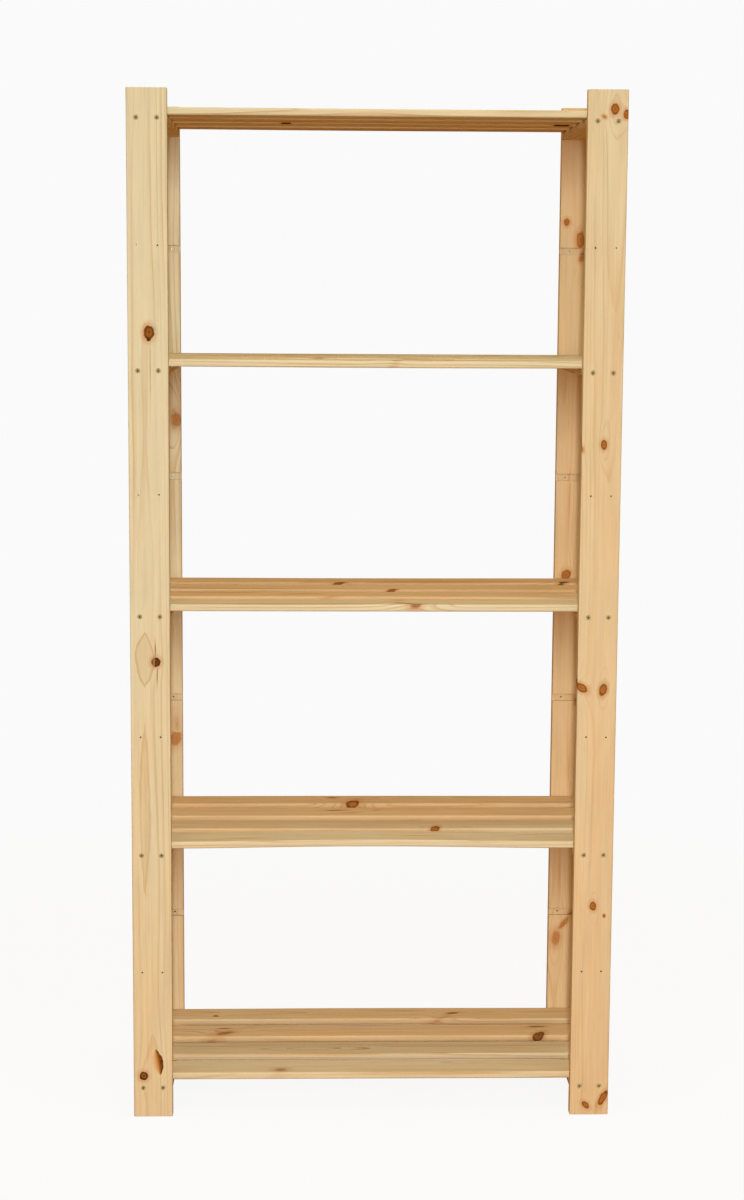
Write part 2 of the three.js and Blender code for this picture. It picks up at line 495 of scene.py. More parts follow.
def new_group(name, vectors, numbers, outputs):
    """An empty shader group with the inputs and outputs named, its tree, and the sockets at its two ends."""
    group = bpy.data.node_groups.new(name, "ShaderNodeTree")
    inputs = dict.fromkeys(vectors, "Vector") | dict.fromkeys(numbers, "Float")
    for way, sockets in (("INPUT", inputs), ("OUTPUT", outputs)):
        for label, kind in sockets.items():
            group.interface.new_socket(label, in_out=way, socket_type=f"NodeSocket{kind}")
    tree = Tree(group)
    return group, tree, tree.node("NodeGroupInput").outputs, tree.node("NodeGroupOutput").inputs


def opaque(rgb):
    return (*rgb, 1.0)


def knot_group():
    """One knot, joined to the knots before it.

    It gives how far they push the rings aside, the distance from the nearest one's axis in radii, and that
    one's look.
    """
    known = bpy.data.node_groups.get("pine_knot")
    if known:
        return known
    vectors = ("Position", "Middle", "Axis", "Look", "Look Before")
    numbers = ("Radius", "Swirl", "Push Before", "Field Before")
    outputs = {"Push": "Float", "Field": "Float", "Look": "Vector"}
    group, tree, given, made = new_group("pine_knot", vectors, numbers, outputs)
    offset = tree.vector("SUBTRACT", given["Position"], given["Middle"])

    def radii(away):
        distance = tree.vector("LENGTH", tree.vector("CROSS_PRODUCT", away, given["Axis"]))
        return tree.math("DIVIDE", distance, given["Radius"])

    # The push reaches further along the grain than across it
    reach = radii(tree.vector("MULTIPLY", offset, (0.36, 0.85, 1.0)))
    fade = tree.math("EXPONENT", tree.product(reach, reach, -0.55))
    push = tree.product(fade, given["Swirl"], given["Radius"])
    field = radii(offset)
    _, _, show = tree.split(given["Look"])
    shown = tree.math("GREATER_THAN", show, 0.0)
    field = tree.between(shown, FAR_FIELD, field)
    nearer = tree.math("LESS_THAN", field, given["Field Before"])
    change = tree.vector("SUBTRACT", given["Look"], given["Look Before"])
    look = tree.node("ShaderNodeVectorMath", {0: change, 3: nearer}, operation="SCALE").outputs[0]
    tree.feed(made["Push"], tree.math("ADD", given["Push Before"], push))
    tree.feed(made["Field"], tree.math("MINIMUM", field, given["Field Before"]))
    tree.feed(made["Look"], tree.vector("ADD", given["Look Before"], look))
    return group


def pine_group():
    """Pine cut from a log: year rings about a pith, bent round the knots, with fibres and end grain."""
    known = bpy.data.node_groups.get("pine_wood")
    if known:
        return known
    finish = scene_finish()
    vectors = ("Position", "Seed", "Pith", "Look")
    numbers = ("Ring", "Taper", "Contrast", "Warmth", "Push", "Field")
    outputs = {"Colour": "Color", "Roughness": "Float", "Height": "Float"}
    group, tree, given, made = new_group("pine_wood", vectors, numbers, outputs)
    position = tree.vector("ADD", given["Position"], given["Seed"])
    rim_look, inside_look, show = tree.split(given["Look"])

    # The rings: distance from a wandering pith, less what the knots push aside
    bent = tree.vector("ADD", given["Position"], tree.sway(position, 1.6, 9.0, (0.0, 0.016, 0.016)))
    across = tree.vector("MULTIPLY", tree.vector("SUBTRACT", bent, given["Pith"]), (0.0, 1.0, 1.0))
    along, _, _ = tree.split(given["Position"])
    reach = tree.math("MULTIPLY_ADD", along, given["Taper"], tree.vector("LENGTH", across))
    reach = tree.math("SUBTRACT", reach, given["Push"])
    years = tree.math("DIVIDE", reach, given["Ring"])
    slow = {"W": years, "Scale": 0.45, "Detail": 2.0}
    uneven = tree.node("ShaderNodeTexNoise", slow, noise_dimensions="1D").outputs["Fac"]
    years = tree.math("MULTIPLY_ADD", uneven, 1.8, years)
    part = tree.math("FRACT", years)
    late = tree.product(tree.step(part, 0.40, 0.94), tree.fall(part, 0.94, 1.0))
    late = tree.math("POWER", late, 2.0)
    patches = tree.step(tree.noise(position, 2.2, 22.0, 3.0), 0.30, 0.72)
    ring_show = tree.product(given["Contrast"], tree.between(patches, 0.05, 1.8))
    late_show = tree.product(late, ring_show)

    # Fibres and resin canals, drawn out along the board
    fibre = tree.noise(position, 6.0, 420.0, 4.0, Roughness=0.65)
    canals = tree.step(tree.noise(position, 42.0, 1100.0, 1.0), 0.66, 0.82)

    # Early wood from pale to warm, with slow changes along the board
    drift = tree.noise(position, 5.0, 34.0, 3.0)
    warm = tree.math("ADD", given["Warmth"], tree.between(drift, -0.42, 0.42))
    early = tree.mix(tree.step(warm, -0.15, 1.15), opaque(finish.sapwood), opaque(finish.heartwood))
    wood = tree.mix(late_show, early, opaque(finish.latewood))
    cloud = tree.noise(position, 9.0, 70.0, 3.0)
    streak = tree.math("ADD", tree.between(fibre, -0.15, 0.15), tree.between(cloud, 0.90, 1.10))
    shade = tree.math("SUBTRACT", streak, tree.product(canals, 0.14))

    # A knot's place, with a ragged edge that is softer the less the knot shows, and its warm halo
    ragged = tree.noise(position, 130.0, 190.0, 2.0)
    field = tree.math("ADD", given["Field"], tree.between(ragged, -0.24, 0.24))
    solid = tree.math("MULTIPLY_ADD", show, 1.5, -0.64)
    knot = tree.product(tree.fall(field, solid, 1.10), show)
    halo = tree.product(tree.fall(field, 0.95, 2.1), show, tree.between(cloud, 0.05, 0.75))
    wood = tree.mix(halo, wood, opaque(finish.knot_light))

    # A knot's darkness: rings of its own, blotches, a rim and a heart
    turns = tree.math("FRACT", tree.product(field, 2.6))
    depth = tree.math("MULTIPLY_ADD", turns, 0.10, inside_look)
    blotch = tree.noise(position, 210.0, 300.0, 2.0)
    depth = tree.math("ADD", depth, tree.between(blotch, -0.26, 0.26))
    rim = tree.step(field, 0.46, 0.80)
    depth = tree.math("MULTIPLY_ADD", rim, rim_look, depth)
    depth = tree.math("MULTIPLY_ADD", tree.fall(field, 0.04, 0.26), 0.32, depth)
    inside = tree.mix(tree.step(depth, -0.1, 1.1), opaque(finish.knot_light), opaque(finish.knot_dark))
    wood = tree.mix(knot, wood, inside)

    # Sawn ends are darker and duller than planed faces
    facing, _, _ = tree.split(tree.node("ShaderNodeTexCoord").outputs["Normal"])
    end = tree.step(tree.math("ABSOLUTE", facing), 0.6, 0.95)
    shade = tree.product(shade, tree.between(end, 1.0, 0.72))
    grey = tree.node("ShaderNodeCombineColor", {0: shade, 1: shade, 2: shade}).outputs[0]
    tree.feed(made["Colour"], tree.mix(1.0, wood, grey, "MULTIPLY"))

    rough = tree.math("MULTIPLY_ADD", tree.math("SUBTRACT", fibre, 0.5), 0.22, finish.wood_roughness)
    rough = tree.math("MULTIPLY_ADD", late_show, -0.08, rough)
    rough = tree.math("MULTIPLY_ADD", knot, -0.14, rough)
    tree.feed(made["Roughness"], tree.math("MULTIPLY_ADD", end, 0.2, rough))
    height = tree.math("MULTIPLY_ADD", late, 0.35, tree.product(fibre, 0.8))
    height = tree.math("MULTIPLY_ADD", canals, -0.5, height)
    tree.feed(made["Height"], tree.math("MULTIPLY_ADD", rim, tree.product(knot, -0.6), height))
    return group


def on_board(mark, size, height=0.0):
    """The place in a board's own frame of a mark that is given from its foot and its left edge."""
    return (mark.along * MM - size[0] / 2, mark.across * MM - size[1] / 2, height)


def lens_arc(tree, along, half):
    """1 at the middle of a lens shape, falling to 0 at its two points."""
    part = tree.math("DIVIDE", along, half * MM)
    return tree.inverse(tree.product(part, part))


def resin_pocket(tree, position, pocket, size, wood):
    """A board's colour with a crescent of dark bark in it, and resin in the wood beside it."""
    finish = scene_finish()
    offset = tree.vector("SUBTRACT", position, on_board(pocket, size))
    turn = {"Vector": offset, "Angle": math.radians(pocket.turn)}
    turned = tree.node("ShaderNodeVectorRotate", turn, rotation_type="Z_AXIS").outputs[0]
    along, across, through = tree.split(turned)
    arc = lens_arc(tree, along, pocket.half)
    wobble = tree.noise(position, 240.0, 240.0, 2.0)
    edge = tree.math("MULTIPLY_ADD", arc, pocket.bulge * MM, tree.between(wobble, -1.2 * MM, 1.2 * MM))
    inwards = tree.math("SUBTRACT", edge, across)
    face = tree.math("LESS_THAN", through, 0.0)
    within = tree.product(tree.step(inwards, -0.4 * MM, 0.4 * MM), tree.step(arc, 0.0, 0.25), face)
    part_in = tree.math("DIVIDE", inwards, tree.product(arc, pocket.stain * MM))
    stain = tree.fall(part_in, 0.6, 1.7)
    bark = tree.product(tree.fall(part_in, 0.25, 1.0), tree.between(wobble, 0.45, 1.35))
    wood = tree.mix(tree.product(within, stain), wood, opaque(finish.resin))
    return tree.mix(tree.product(within, bark), wood, opaque(finish.knot_dark))


def pointed_figure(tree, position, figure, size, wood):
    """A board's colour with the line of one year's ring that closes in a pointed figure on its front."""
    offset = tree.vector("SUBTRACT", position, on_board(figure, size))
    offset = tree.vector("ADD", offset, tree.sway(position, 26.0, 60.0, (0.02, 0.008, 0.0)))
    along, across, through = tree.split(offset)
    edge = tree.product(lens_arc(tree, along, figure.half), figure.bulge * MM)
    outside = tree.math("SUBTRACT", tree.math("ABSOLUTE", across), edge)
    line = tree.math("MAXIMUM", tree.step(outside, -7.0 * MM, -0.3 * MM), 0.3)
    line = tree.product(line, figure.show, tree.fall(outside, -0.2 * MM, 0.5 * MM))
    face = tree.math("LESS_THAN", through, 0.0)
    return tree.mix(tree.product(line, face), wood, opaque(scene_finish().latewood))


def emptied(holder):
    """The cleared node tree of a new material or world."""
    holder.use_nodes = True
    holder.node_tree.nodes.clear()
    return Tree(holder.node_tree)


def pine_material(name, grain, knots, size, pocket=None, figures=()):
    """The pine of one board, whose own X runs along the grain."""
    material = bpy.data.materials.new(f"pine_{name}")
    tree = emptied(material)
    position = tree.node("ShaderNodeTexCoord").outputs["Object"]
    push, field, look = 0.0, FAR_FIELD, FIGURE
    for knot in knots:
        inputs = {
            "Position": position,
            "Middle": on_board(knot, size, knot_face(name) * size[2] / 2),
            "Axis": Vector((knot.lean, knot.slant, 1.0)).normalized(),
            "Radius": knot.radius * MM,
            "Swirl": knot.swirl,
            "Look": knot.look,
            "Push Before": push,
            "Field Before": field,
            "Look Before": look,
        }
        push, field, look = tree.node("ShaderNodeGroup", inputs, node_tree=knot_group()).outputs
    along, _, _ = tree.split(position)
    warmth = {
        "Value": along,
        "From Min": -size[0] / 2,
        "From Max": size[0] / 2,
        "To Min": grain.warmth[0],
        "To Max": grain.warmth[1],
    }
    rng = random.Random(name)
    inputs = {
        "Position": position,
        "Seed": [rng.uniform(-9.0, 9.0) for _ in range(3)],
        "Pith": (0.0, grain.pith[0] * MM, grain.pith[1] * MM),
        "Ring": grain.ring * MM,
        "Taper": grain.taper,
        "Contrast": grain.contrast,
        "Warmth": tree.node("ShaderNodeMapRange", warmth).outputs[0],
        "Push": push,
        "Field": field,
        "Look": look,
    }
    wood = tree.node("ShaderNodeGroup", inputs, node_tree=pine_group()).outputs
    tone = wood["Colour"]
    for figure in figures:
        tone = pointed_figure(tree, position, figure, size, tone)
    if pocket:
        tone = resin_pocket(tree, position, pocket, size, tone)
    relief = {"Height": wood["Height"], "Strength": 0.35, "Distance": 0.4 * MM}
    planed = {
        "Base Color": tone,
        "Roughness": wood["Roughness"],
        "Normal": tree.node("ShaderNodeBump", relief).outputs[0],
        "IOR": 1.45,
        "Specular IOR Level": 0.0,
    }
    tree.surface(planed)
    return material


def knot_face(name):
    """The side of a board on which its knots are placed: a post's front, the top of any other board."""
    return -1.0 if name.startswith("post") else 1.0


def scattered_knots(name, size):
    """Knots for a board of which the picture shows none."""
    rng = random.Random(name)
    found = []
    for _ in range(rng.randint(0, MOST_KNOTS)):
        found.append(
            Knot(
                rng.uniform(0.08, 0.92) * size[0] / MM,
                rng.uniform(0.15, 0.85) * size[1] / MM,
                rng.uniform(3.0, 7.5),
                rng.uniform(0.4, 1.3),
                rng.uniform(-0.5, 0.5),
                rng.choice((RED_KNOT, BROWN_KNOT, SOFT_KNOT)),
            )
        )
    return tuple(found)


def box_of(node):
    """The middle and the size of a CAD node."""
    low, high = (Vector(corner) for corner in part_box(node))
    return (low + high) / 2, high - low


def board_frame(axes, middle):
    """A board's own frame: columns along it, across it and through it, at its middle."""
    turn = Matrix(axes).transposed()
    return Matrix.Translation(middle) @ turn.to_4x4()


# Which way a board's length, width and thickness run
UPRIGHT = ((0, 0, 1), (1, 0, 0), (0, 1, 0))
INWARDS = ((0, 1, 0), (-1, 0, 0), (0, 0, 1))
SIDEWAYS = ((1, 0, 0), (0, 1, 0), (0, 0, 1))


def rounded_section(width, thickness, radius):
    """Points round a board's cross-section, with rounded corners."""
    points = []
    corners = ((1, 1), (-1, 1), (-1, -1), (1, -1))
    for quarter, (y, z) in enumerate(corners):
        for step in range(EDGE_STEPS + 1):
            turn = (quarter + step / EDGE_STEPS) * math.pi / 2
            points.append(
                (
                    y * (width / 2 - radius) + radius * math.cos(turn),
                    z * (thickness / 2 - radius) + radius * math.sin(turn),
                )
            )
    return points


def mesh_data(name, mesh):
    """Turns a bmesh into a mesh whose faces look outwards."""
    bmesh.ops.recalc_face_normals(mesh, faces=mesh.faces)
    data = bpy.data.meshes.new(name)
    mesh.to_mesh(data)
    mesh.free()
    return data


def lofted_board(name, size, radius, easing, rise=None, stations=2):
    """A board with rounded long edges and eased ends; rise(x) lifts its middle line."""
    half = size[0] / 2
    inner = half - easing
    places = [(-half, -easing)]
    places += [(inner * (2 * k / (stations - 1) - 1), 0.0) for k in range(stations)]
    places += [(half, -easing)]
    mesh = bmesh.new()
    rings = []
    for x, grow in places:
        lift = rise(x) if rise else 0.0
        section = rounded_section(size[1] + 2 * grow, size[2] + 2 * grow, max(radius + grow, easing))
        rings.append([mesh.verts.new((x, y, z + lift)) for y, z in section])
    for first, second in zip(rings, rings[1:]):
        for i, corner in enumerate(first):
            j = (i + 1) % len(first)
            mesh.faces.new((corner, second[i], second[j], first[j]))
    mesh.faces.new(rings[0])
    mesh.faces.new(rings[-1][::-1])
    return mesh_data(name, mesh)


def turned_mesh(mesh, outline, spot, axis, turns=HOLE_STEPS):
    """Adds a turned solid to a bmesh: outline is (radius, distance) from start to end along axis."""
    turn = Vector((0, 0, 1)).rotation_difference(Vector(axis)).to_matrix()
    rings = []
    for radius, distance in outline:
        ring = []
        for k in range(turns if radius else 1):
            way = 2 * math.pi * k / turns
            point = Vector((radius * math.cos(way), radius * math.sin(way), distance))
            ring.append(mesh.verts.new(Vector(spot) + turn @ point))
        rings.append(ring)
    for first, second in zip(rings, rings[1:]):
        for k in range(turns):
            j = (k + 1) % turns
            ways = ((first, k), (first, j), (second, j), (second, k))
            corners = [ring[i % len(ring)] for ring, i in ways]
            mesh.faces.new(list(dict.fromkeys(corners)))


def box_mesh(mesh, middle, size):
    """Adds a box to a bmesh."""
    scale = Matrix.Diagonal((*size, 1.0))
    bmesh.ops.create_cube(mesh, size=1.0, matrix=Matrix.Translation(middle) @ scale)


def scratch_object(name, mesh):
    made = bpy.data.objects.new(name, mesh_data(name, mesh))
    bpy.context.collection.objects.link(made)
    return made


def cut_mesh(data, cutters):
    """A mesh less each cutter in turn; the cutters are removed."""
    blank = bpy.data.objects.new("blank", data)
    bpy.context.collection.objects.link(blank)
    for cutter in cutters:
        cut = blank.modifiers.new("cut", "BOOLEAN")
        cut.operation = "DIFFERENCE"
        cut.solver = "EXACT"
        cut.object = cutter
    graph = bpy.context.evaluated_depsgraph_get()
    made = bpy.data.meshes.new_from_object(blank.evaluated_get(graph))
    for scratch in (blank, *cutters):
        old = scratch.data
        bpy.data.objects.remove(scratch)
        bpy.data.meshes.remove(old)
    return made


def finish_piece(name, data, frame_matrix, material, node=None, easing=0.0):
    """Places a piece, smooths its rounded faces and ties it to the frame."""
    data.name = name
    data.materials.clear()
    data.materials.append(material)
    data.polygons.foreach_set("use_smooth", [True] * len(data.polygons))
    data.set_sharp_from_angle(angle=SHARP_ANGLE)
    piece = bpy.data.objects.new(name, data)
    bpy.context.collection.objects.link(piece)
    piece.matrix_world = frame_matrix
    if easing:
        ease = piece.modifiers.new("eased_edges", "BEVEL")
        ease.width = easing
        ease.segments = 2
        ease.limit_method = "ANGLE"
        ease.angle_limit = SHARP_ANGLE
    even = piece.modifiers.new("even_faces", "WEIGHTED_NORMAL")
    even.keep_sharp = True
    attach(piece, BODY)
    if node:
        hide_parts(node)


def shelf_levels():
    return [box_of(f"rail_{n}_left")[0].z for n in SHELVES]


def post_levels():
    """The height of every groove, and whether a shelf is there."""
    shelves = shelf_levels()
    spare = [(low + high) / 2 for low, high in zip(shelves, shelves[1:])]
    return [(z, True) for z in shelves] + [(z, False) for z in spare]


def screw_places(side):
    """The places across the rack of the two screws at a post."""
    return [box_of(f"screw_1_{side}_{spot}")[0].x for spot in SPOTS]


def screw_extent():
    """A screw's length and the radius of its head."""
    _, extent = box_of("screw_1_left_outer")
    return extent.y, extent.x / 2


def plain_hole(radius, reach):
    """The outline of a hole that reaches as far on either side of its spot."""
    return [(0, -reach), (radius, -reach), (radius, reach), (0, reach)]


def screw_hole():
    """The outline of a countersunk hole from a post's face."""
    sizes = scene_sizes()
    reach, head = screw_extent()
    hole = sizes.screw_shank + sizes.fit_gap
    mouth = head + sizes.fit_gap
    rim = sizes.screw_sink + sizes.screw_rim
    cone = rim + mouth - hole
    return [(0, -reach), (mouth, -reach), (mouth, rim), (hole, cone), (hole, reach), (0, reach)]


def post_mesh(name, row, side):
    """A post's mesh, with its grooves and holes, its frame and its size along, across and through."""
    sizes = scene_sizes()
    middle, extent = box_of(name)
    trim = POST_TRIM[name] * MM
    middle.z -= trim / 2
    size = (extent.z - trim, extent.x, extent.y)
    outward = -1.0 if row == "front" else 1.0
    _, rail = box_of(f"rail_1_{side}")
    inner_face = abs(middle.y) - extent.y / 2
    groove_depth = rail.y / 2 - inner_face + sizes.fit_gap
    groove = (rail.z + 2 * sizes.fit_gap, 2 * size[1], 2 * groove_depth)
    used, spare = screw_hole(), plain_hole(sizes.spare_hole, screw_extent()[0])
    grooves = bmesh.new()
    holes = bmesh.new()
    for z, shelf in post_levels():
        along = z - middle.z
        box_mesh(grooves, (along, 0.0, -outward * size[2] / 2), groove)
        for x in screw_places(side):
            spot = (along, x - middle.x, outward * size[2] / 2)
            turned_mesh(holes, used if shelf else spare, spot, (0, 0, -outward))
    blank = lofted_board(name, size, sizes.post_round, sizes.sawn_edge)
    data = cut_mesh(blank, [scratch_object("grooves", grooves), scratch_object("holes", holes)])
    return data, board_frame(UPRIGHT, middle), size


class RACK_OT_posts(bpy.types.Operator):
    """Build the four posts with their grooves and screw holes."""

    bl_idname = "rack.posts"
    bl_label = "Posts"

    def execute(self, context):
        for row in ROWS:
            for side in SIDES:
                name = f"post_{row}_{side}"
                data, matrix, size = post_mesh(name, row, side)
                marks = (POST_POCKETS.get(name), POST_FIGURES.get(name, ()))
                material = pine_material(name, POST_GRAIN[name], POST_KNOTS[name], size, *marks)
                easing = context.scene.rack_sizes.sawn_edge
                finish_piece(f"pine_{name}", data, matrix, material, name, easing)
        return {"FINISHED"}


def board_grain(name, warmth):
    """The grain of a rail or a slat whose warmth is given for its middle."""
    rng = random.Random(f"grain {name}")
    change = rng.uniform(-0.12, 0.12)
    return Grain(
        (warmth - change, warmth + change),
        (rng.uniform(-30, 30), -rng.uniform(12, 45)),
        rng.uniform(3.2, 5.4),
        rng.uniform(0.40, 0.70),
        rng.uniform(-0.010, 0.010),
    )


class RACK_OT_rails(bpy.types.Operator):
    """Build the cross rails with the screws' pilot holes in their ends."""

    bl_idname = "rack.rails"
    bl_label = "Cross rails"

    def execute(self, context):
        sizes = context.scene.rack_sizes
        for n in SHELVES:
            for side in SIDES:
                name = f"rail_{n}_{side}"
                middle, extent = box_of(name)
                size = (extent.y, extent.x, extent.z)
                screw, reach = box_of(f"screw_{n}_{side}_outer")
                pilot = size[0] / 2 + screw.y + reach.y / 2 + sizes.pilot_spare
                outline = plain_hole(sizes.screw_shank + sizes.fit_gap, pilot)
                holes = bmesh.new()
                for x in screw_places(side):
                    for end in (-1, 1):
                        spot = (end * size[0] / 2, middle.x - x, 0.0)
                        turned_mesh(holes, outline, spot, (1, 0, 0), PILOT_STEPS)
                blank = lofted_board(name, size, sizes.board_round, sizes.sawn_edge)
                data = cut_mesh(blank, [scratch_object("pilots", holes)])
                grain = board_grain(name, RAIL_WARMTH)
                material = pine_material(name, grain, scattered_knots(name, size), size)
                finish_piece(f"pine_{name}", data, board_frame(INWARDS, middle), material, name)
        return {"FINISHED"}


def slat_rise(name, span, most):
    """How a slat's middle line rises or sags between the rails it lies on."""
    rng = random.Random(f"bow {name}")
    bow = BOWED_RISE * MM if name == BOWED_SLAT else rng.uniform(-most, most)
    skew = rng.uniform(-0.15, 0.15)

    def rise(x):
        t = max(-1.0, min(1.0, 2 * x / span + skew * (1 - (2 * x / span) ** 2)))
        return bow * (1 - t * t) ** 2

    return rise


class RACK_OT_slats(bpy.types.Operator):
    """Build the slats, each a little bowed as sawn boards are."""

    bl_idname = "rack.slats"
    bl_label = "Slats"

    def execute(self, context):
        sizes = context.scene.rack_sizes
        for n in SHELVES:
            rail, rail_size = box_of(f"rail_{n}_right")
            span = 2 * (rail.x - rail_size.x / 2)
            for k in SLATS:
                name = f"slat_{n}_{k}"
                middle, size = box_of(name)
                rise = slat_rise(name, span, sizes.slat_bow)
                edges = (sizes.board_round, sizes.sawn_edge)
                data = lofted_board(name, size, *edges, rise, SLAT_STATIONS)
                knots = SLAT_KNOTS.get(name) or scattered_knots(name, size)
                grain = board_grain(name, SLAT_WARMTH[n - 1][k - 1])
                material = pine_material(name, grain, knots, size)
                finish_piece(f"pine_{name}", data, board_frame(SIDEWAYS, middle), material, name)
        return {"FINISHED"}


def zinc_material():
    """Yellow zinc plating, patchy in colour and polish, with painted shade darkening the cross recess."""
    finish = scene_finish()
    material = bpy.data.materials.new("yellow_zinc")
    tree = emptied(material)
    position = tree.node("ShaderNodeTexCoord").outputs["Object"]
    patches = tree.noise(position, 420.0, 420.0, 3.0)
    dull = [0.8 * c for c in finish.zinc]
    plating = tree.mix(tree.step(patches, 0.3, 0.7), opaque(dull), opaque(finish.zinc))
    _, _, depth = tree.split(position)
    from_axis = tree.vector("LENGTH", tree.vector("MULTIPLY", position, (1.0, 1.0, 0.0)))
    # The cross recess below the head's face, which is painted dark as painted shade
    recess = tree.product(tree.step(depth, 0.1 * MM, 0.5 * MM), tree.fall(from_axis, 2.4 * MM, 2.8 * MM))
    plated = {
        "Base Color": tree.mix(recess, plating, opaque(finish.painted_recess_shade)),
        "Roughness": tree.between(patches, 0.40, 0.62),
        "Metallic": 1.0,
    }
    tree.surface(plated)
    return material


def screw_rings():
    """A screw's outline as rows of (radius, distance from its head), one point for each step round it."""
    sizes = scene_sizes()
    reach, head = screw_extent()
    outer, core = sizes.screw_shank, sizes.screw_core
    neck = sizes.screw_rim + head - outer
    start, tip = sizes.screw_plain, reach - sizes.screw_tip
    rows = [
        (head - sizes.head_easing, 0.0),
        (head, 0.8 * sizes.head_easing),
        (head, sizes.screw_rim),
        (outer, neck),
        (outer, start),
    ]
    rings = [[row] * SCREW_STEPS for row in rows]
    count = int((tip - start) / sizes.thread_pitch * THREAD_ROWS)
    for k in range(1, count + 1):
        z = start + (tip - start) * k / count
        ring = []
        for i in range(SCREW_STEPS):
            phase = (z / sizes.thread_pitch - i / SCREW_STEPS) % 1.0
            ridge = max(0.0, 1.0 - abs(phase - 0.5) / THREAD_WIDTH)
            ring.append((core + (outer - core) * ridge, z))
        rings.append(ring)
    rings.append([(core * 0.9, tip + 1.0 * MM)] * SCREW_STEPS)
    return rings


def screw_mesh():
    """A countersunk screw along +Z from its head, with a thread and a cross recess."""
    sizes = scene_sizes()
    mesh = bmesh.new()
    placed = []
    for ring in screw_rings():
        corners = []
        for i, (radius, z) in enumerate(ring):
            turn = Matrix.Rotation(2 * math.pi * i / SCREW_STEPS, 3, "Z")
            corners.append(mesh.verts.new(turn @ Vector((radius, 0, z))))
        placed.append(corners)
    point = mesh.verts.new((0, 0, screw_extent()[0]))
    mesh.faces.new(placed[0][::-1])
    for i in range(SCREW_STEPS):
        j = (i + 1) % SCREW_STEPS
        for first, second in zip(placed, placed[1:]):
            mesh.faces.new((first[i], first[j], second[j], second[i]))
        mesh.faces.new((placed[-1][i], placed[-1][j], point))
    arms = []
    for size in ((sizes.recess_length, sizes.recess_width), (sizes.recess_width, sizes.recess_length)):
        arm = bmesh.new()
        box_mesh(arm, (0, 0, 0), (*size, 2 * sizes.recess_depth))
        arms.append(scratch_object("recess", arm))
    return cut_mesh(mesh_data("screw", mesh), arms)


class RACK_OT_screws(bpy.types.Operator):
    """Build the countersunk screws at the front and the rear posts."""

    bl_idname = "rack.screws"
    bl_label = "Screws"

    def execute(self, context):
        material = zinc_material()
        rng = random.Random("screw turns")
        for n in SHELVES:
            for side in SIDES:
                for spot in SPOTS:
                    node = f"screw_{n}_{side}_{spot}"
                    middle, reach = box_of(node)
                    for row, sign in zip(ROWS, (-1.0, 1.0)):
                        head = Vector((middle.x, sign * (reach.y / 2 - middle.y), middle.z))
                        aim = Matrix.Rotation(sign * math.pi / 2, 4, "X")
                        spin = Matrix.Rotation(rng.uniform(0, math.pi / 2), 4, "Z")
                        matrix = Matrix.Translation(head) @ aim @ spin
                        name, replaced = f"zinc_{node}", node
                        if row == "rear":
                            name, replaced = f"zinc_screw_rear_{n}_{side}_{spot}", None
                        finish_piece(name, screw_mesh(), matrix, material, replaced)
        return {"FINISHED"}


def steel_material():
    """Bare steel of the nails, dulled in patches."""
    finish = scene_finish()
    material = bpy.data.materials.new("nail_steel")
    tree = emptied(material)
    position = tree.node("ShaderNodeTexCoord").outputs["Object"]
    patches = tree.noise(position, 600.0, 600.0, 3.0)
    dull = [0.5 * c for c in finish.nail_steel]
    bare = {
        "Base Color": tree.mix(patches, opaque(dull), opaque(finish.nail_steel)),
        "Roughness": tree.between(patches, 0.35, 0.6),
        "Metallic": 1.0,
    }
    tree.surface(bare)
    return material


def nail_outline():
    """A nail's radii and depths, from the crown of its head just above the slat to its point."""
    sizes = scene_sizes()
    head, shank = sizes.nail_head, sizes.nail_shank
    return [
        (0, -0.15 * MM),
        (0.6 * head, -0.12 * MM),
        (head, 0.05 * MM),
        (head, 0.3 * MM),
        (shank, 0.8 * MM),
        (shank, sizes.nail_length - 3 * MM),
        (0, sizes.nail_length),
    ]


class RACK_OT_nails(bpy.types.Operator):
    """Build the nails that hold each slat's ends to the rails, one piece a shelf."""

    bl_idname = "rack.nails"
    bl_label = "Nails"

    def execute(self, context):
        inset = context.scene.rack_sizes.nail_inset
        material = steel_material()
        outline = nail_outline()
        rng = random.Random("nails")
        for n in SHELVES:
            mesh = bmesh.new()
            for side in SIDES:
                rail, _ = box_of(f"rail_{n}_{side}")
                for k in SLATS:
                    slat, size = box_of(f"slat_{n}_{k}")
                    for edge in (-1, 1):
                        x = rail.x + rng.uniform(-4, 4) * MM
                        y = slat.y + edge * (size.y / 2 - inset) + rng.uniform(-2, 2) * MM
                        spot = (x, y, slat.z + size.z / 2)
                        turned_mesh(mesh, outline, spot, (0, 0, -1), NAIL_STEPS)
            nails = f"nails_shelf_{n}"
            finish_piece(nails, mesh_data(nails, mesh), Matrix.Identity(4), material)
        return {"FINISHED"}


def camera_turn(studio):
    """The camera's right, up and back directions as a matrix."""
    yaw, pitch, roll = studio.camera_yaw, studio.camera_pitch, studio.camera_roll
    ahead = Vector((math.sin(yaw) * math.cos(pitch), math.cos(yaw) * math.cos(pitch), -math.sin(pitch)))
    level = Vector((math.cos(yaw), -math.sin(yaw), 0.0))
    above = level.cross(ahead)
    right = math.cos(roll) * level + math.sin(roll) * above
    up = math.cos(roll) * above - math.sin(roll) * level
    return Matrix((right, up, -ahead)).transposed()


def seen_directly(tree):
    """1 for rays that show the backdrop itself: from the camera, or by gloss or glass."""
    path = tree.node("ShaderNodeLightPath").outputs
    seen = tree.math("MAXIMUM", path["Is Camera Ray"], path["Is Glossy Ray"])
    return tree.math("MAXIMUM", seen, path["Is Transmission Ray"])


